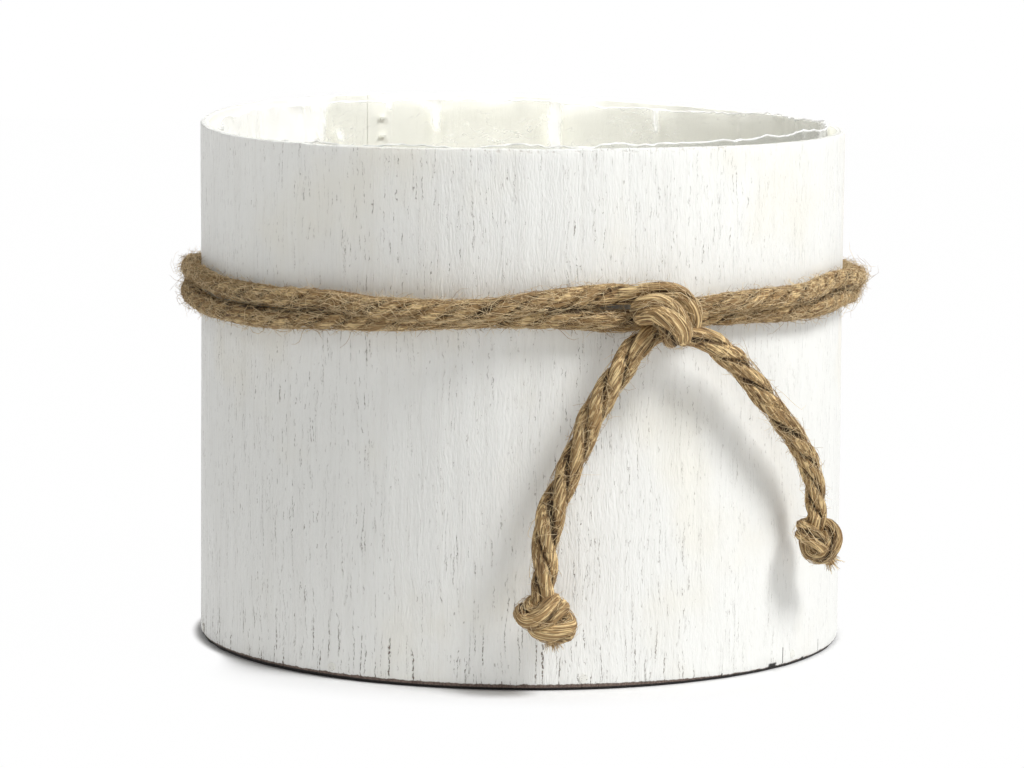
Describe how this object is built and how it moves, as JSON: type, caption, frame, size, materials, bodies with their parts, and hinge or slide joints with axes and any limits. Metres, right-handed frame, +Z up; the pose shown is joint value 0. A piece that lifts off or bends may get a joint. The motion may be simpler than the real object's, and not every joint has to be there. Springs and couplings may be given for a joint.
{
  "type": "round bentwood pot",
  "caption": "Open round pot of bent whitewashed wood with a round base, a clear film liner and a jute rope tied twice round it.",
  "frame": {"origin": "centre of the flat underside, on the surface that the pot stands on", "axes": "+Z up along the pot's axis, -Y to the front where the knot is seen, +X to the right seen from the front"},
  "size_m": [0.161, 0.1715, 0.1208],
  "materials": {
    "whitewashed_wood": "thin satin whitewash over vertical grain, with fine grey cracks",
    "base_wood": "raw, unpainted board",
    "steel_wire": "plain drawn wire",
    "clear_film": "thin clear crinkled film",
    "jute": "twisted jute with loose golden brown fibres"
  },
  "bodies": {
    "pot": {"wall_strip": "whitewashed_wood", "base_disc": "base_wood", "base_pins": "steel_wire", "seam_staples": "steel_wire", "film_liner": "clear_film"},
    "cord_band": {"rope_winding": "jute", "knot_bend": "jute", "knot_wrap": "jute", "rope_tail_left": "jute", "rope_tail_right": "jute", "tail_knot_left": "jute", "tail_knot_right": "jute"}
  },
  "joints": [
    {"name": "cord_lift", "type": "slide", "parent": "pot", "child": "cord_band", "axis": [0, 0, 1], "range_m": [-0.004, 0.045]}
  ]
}
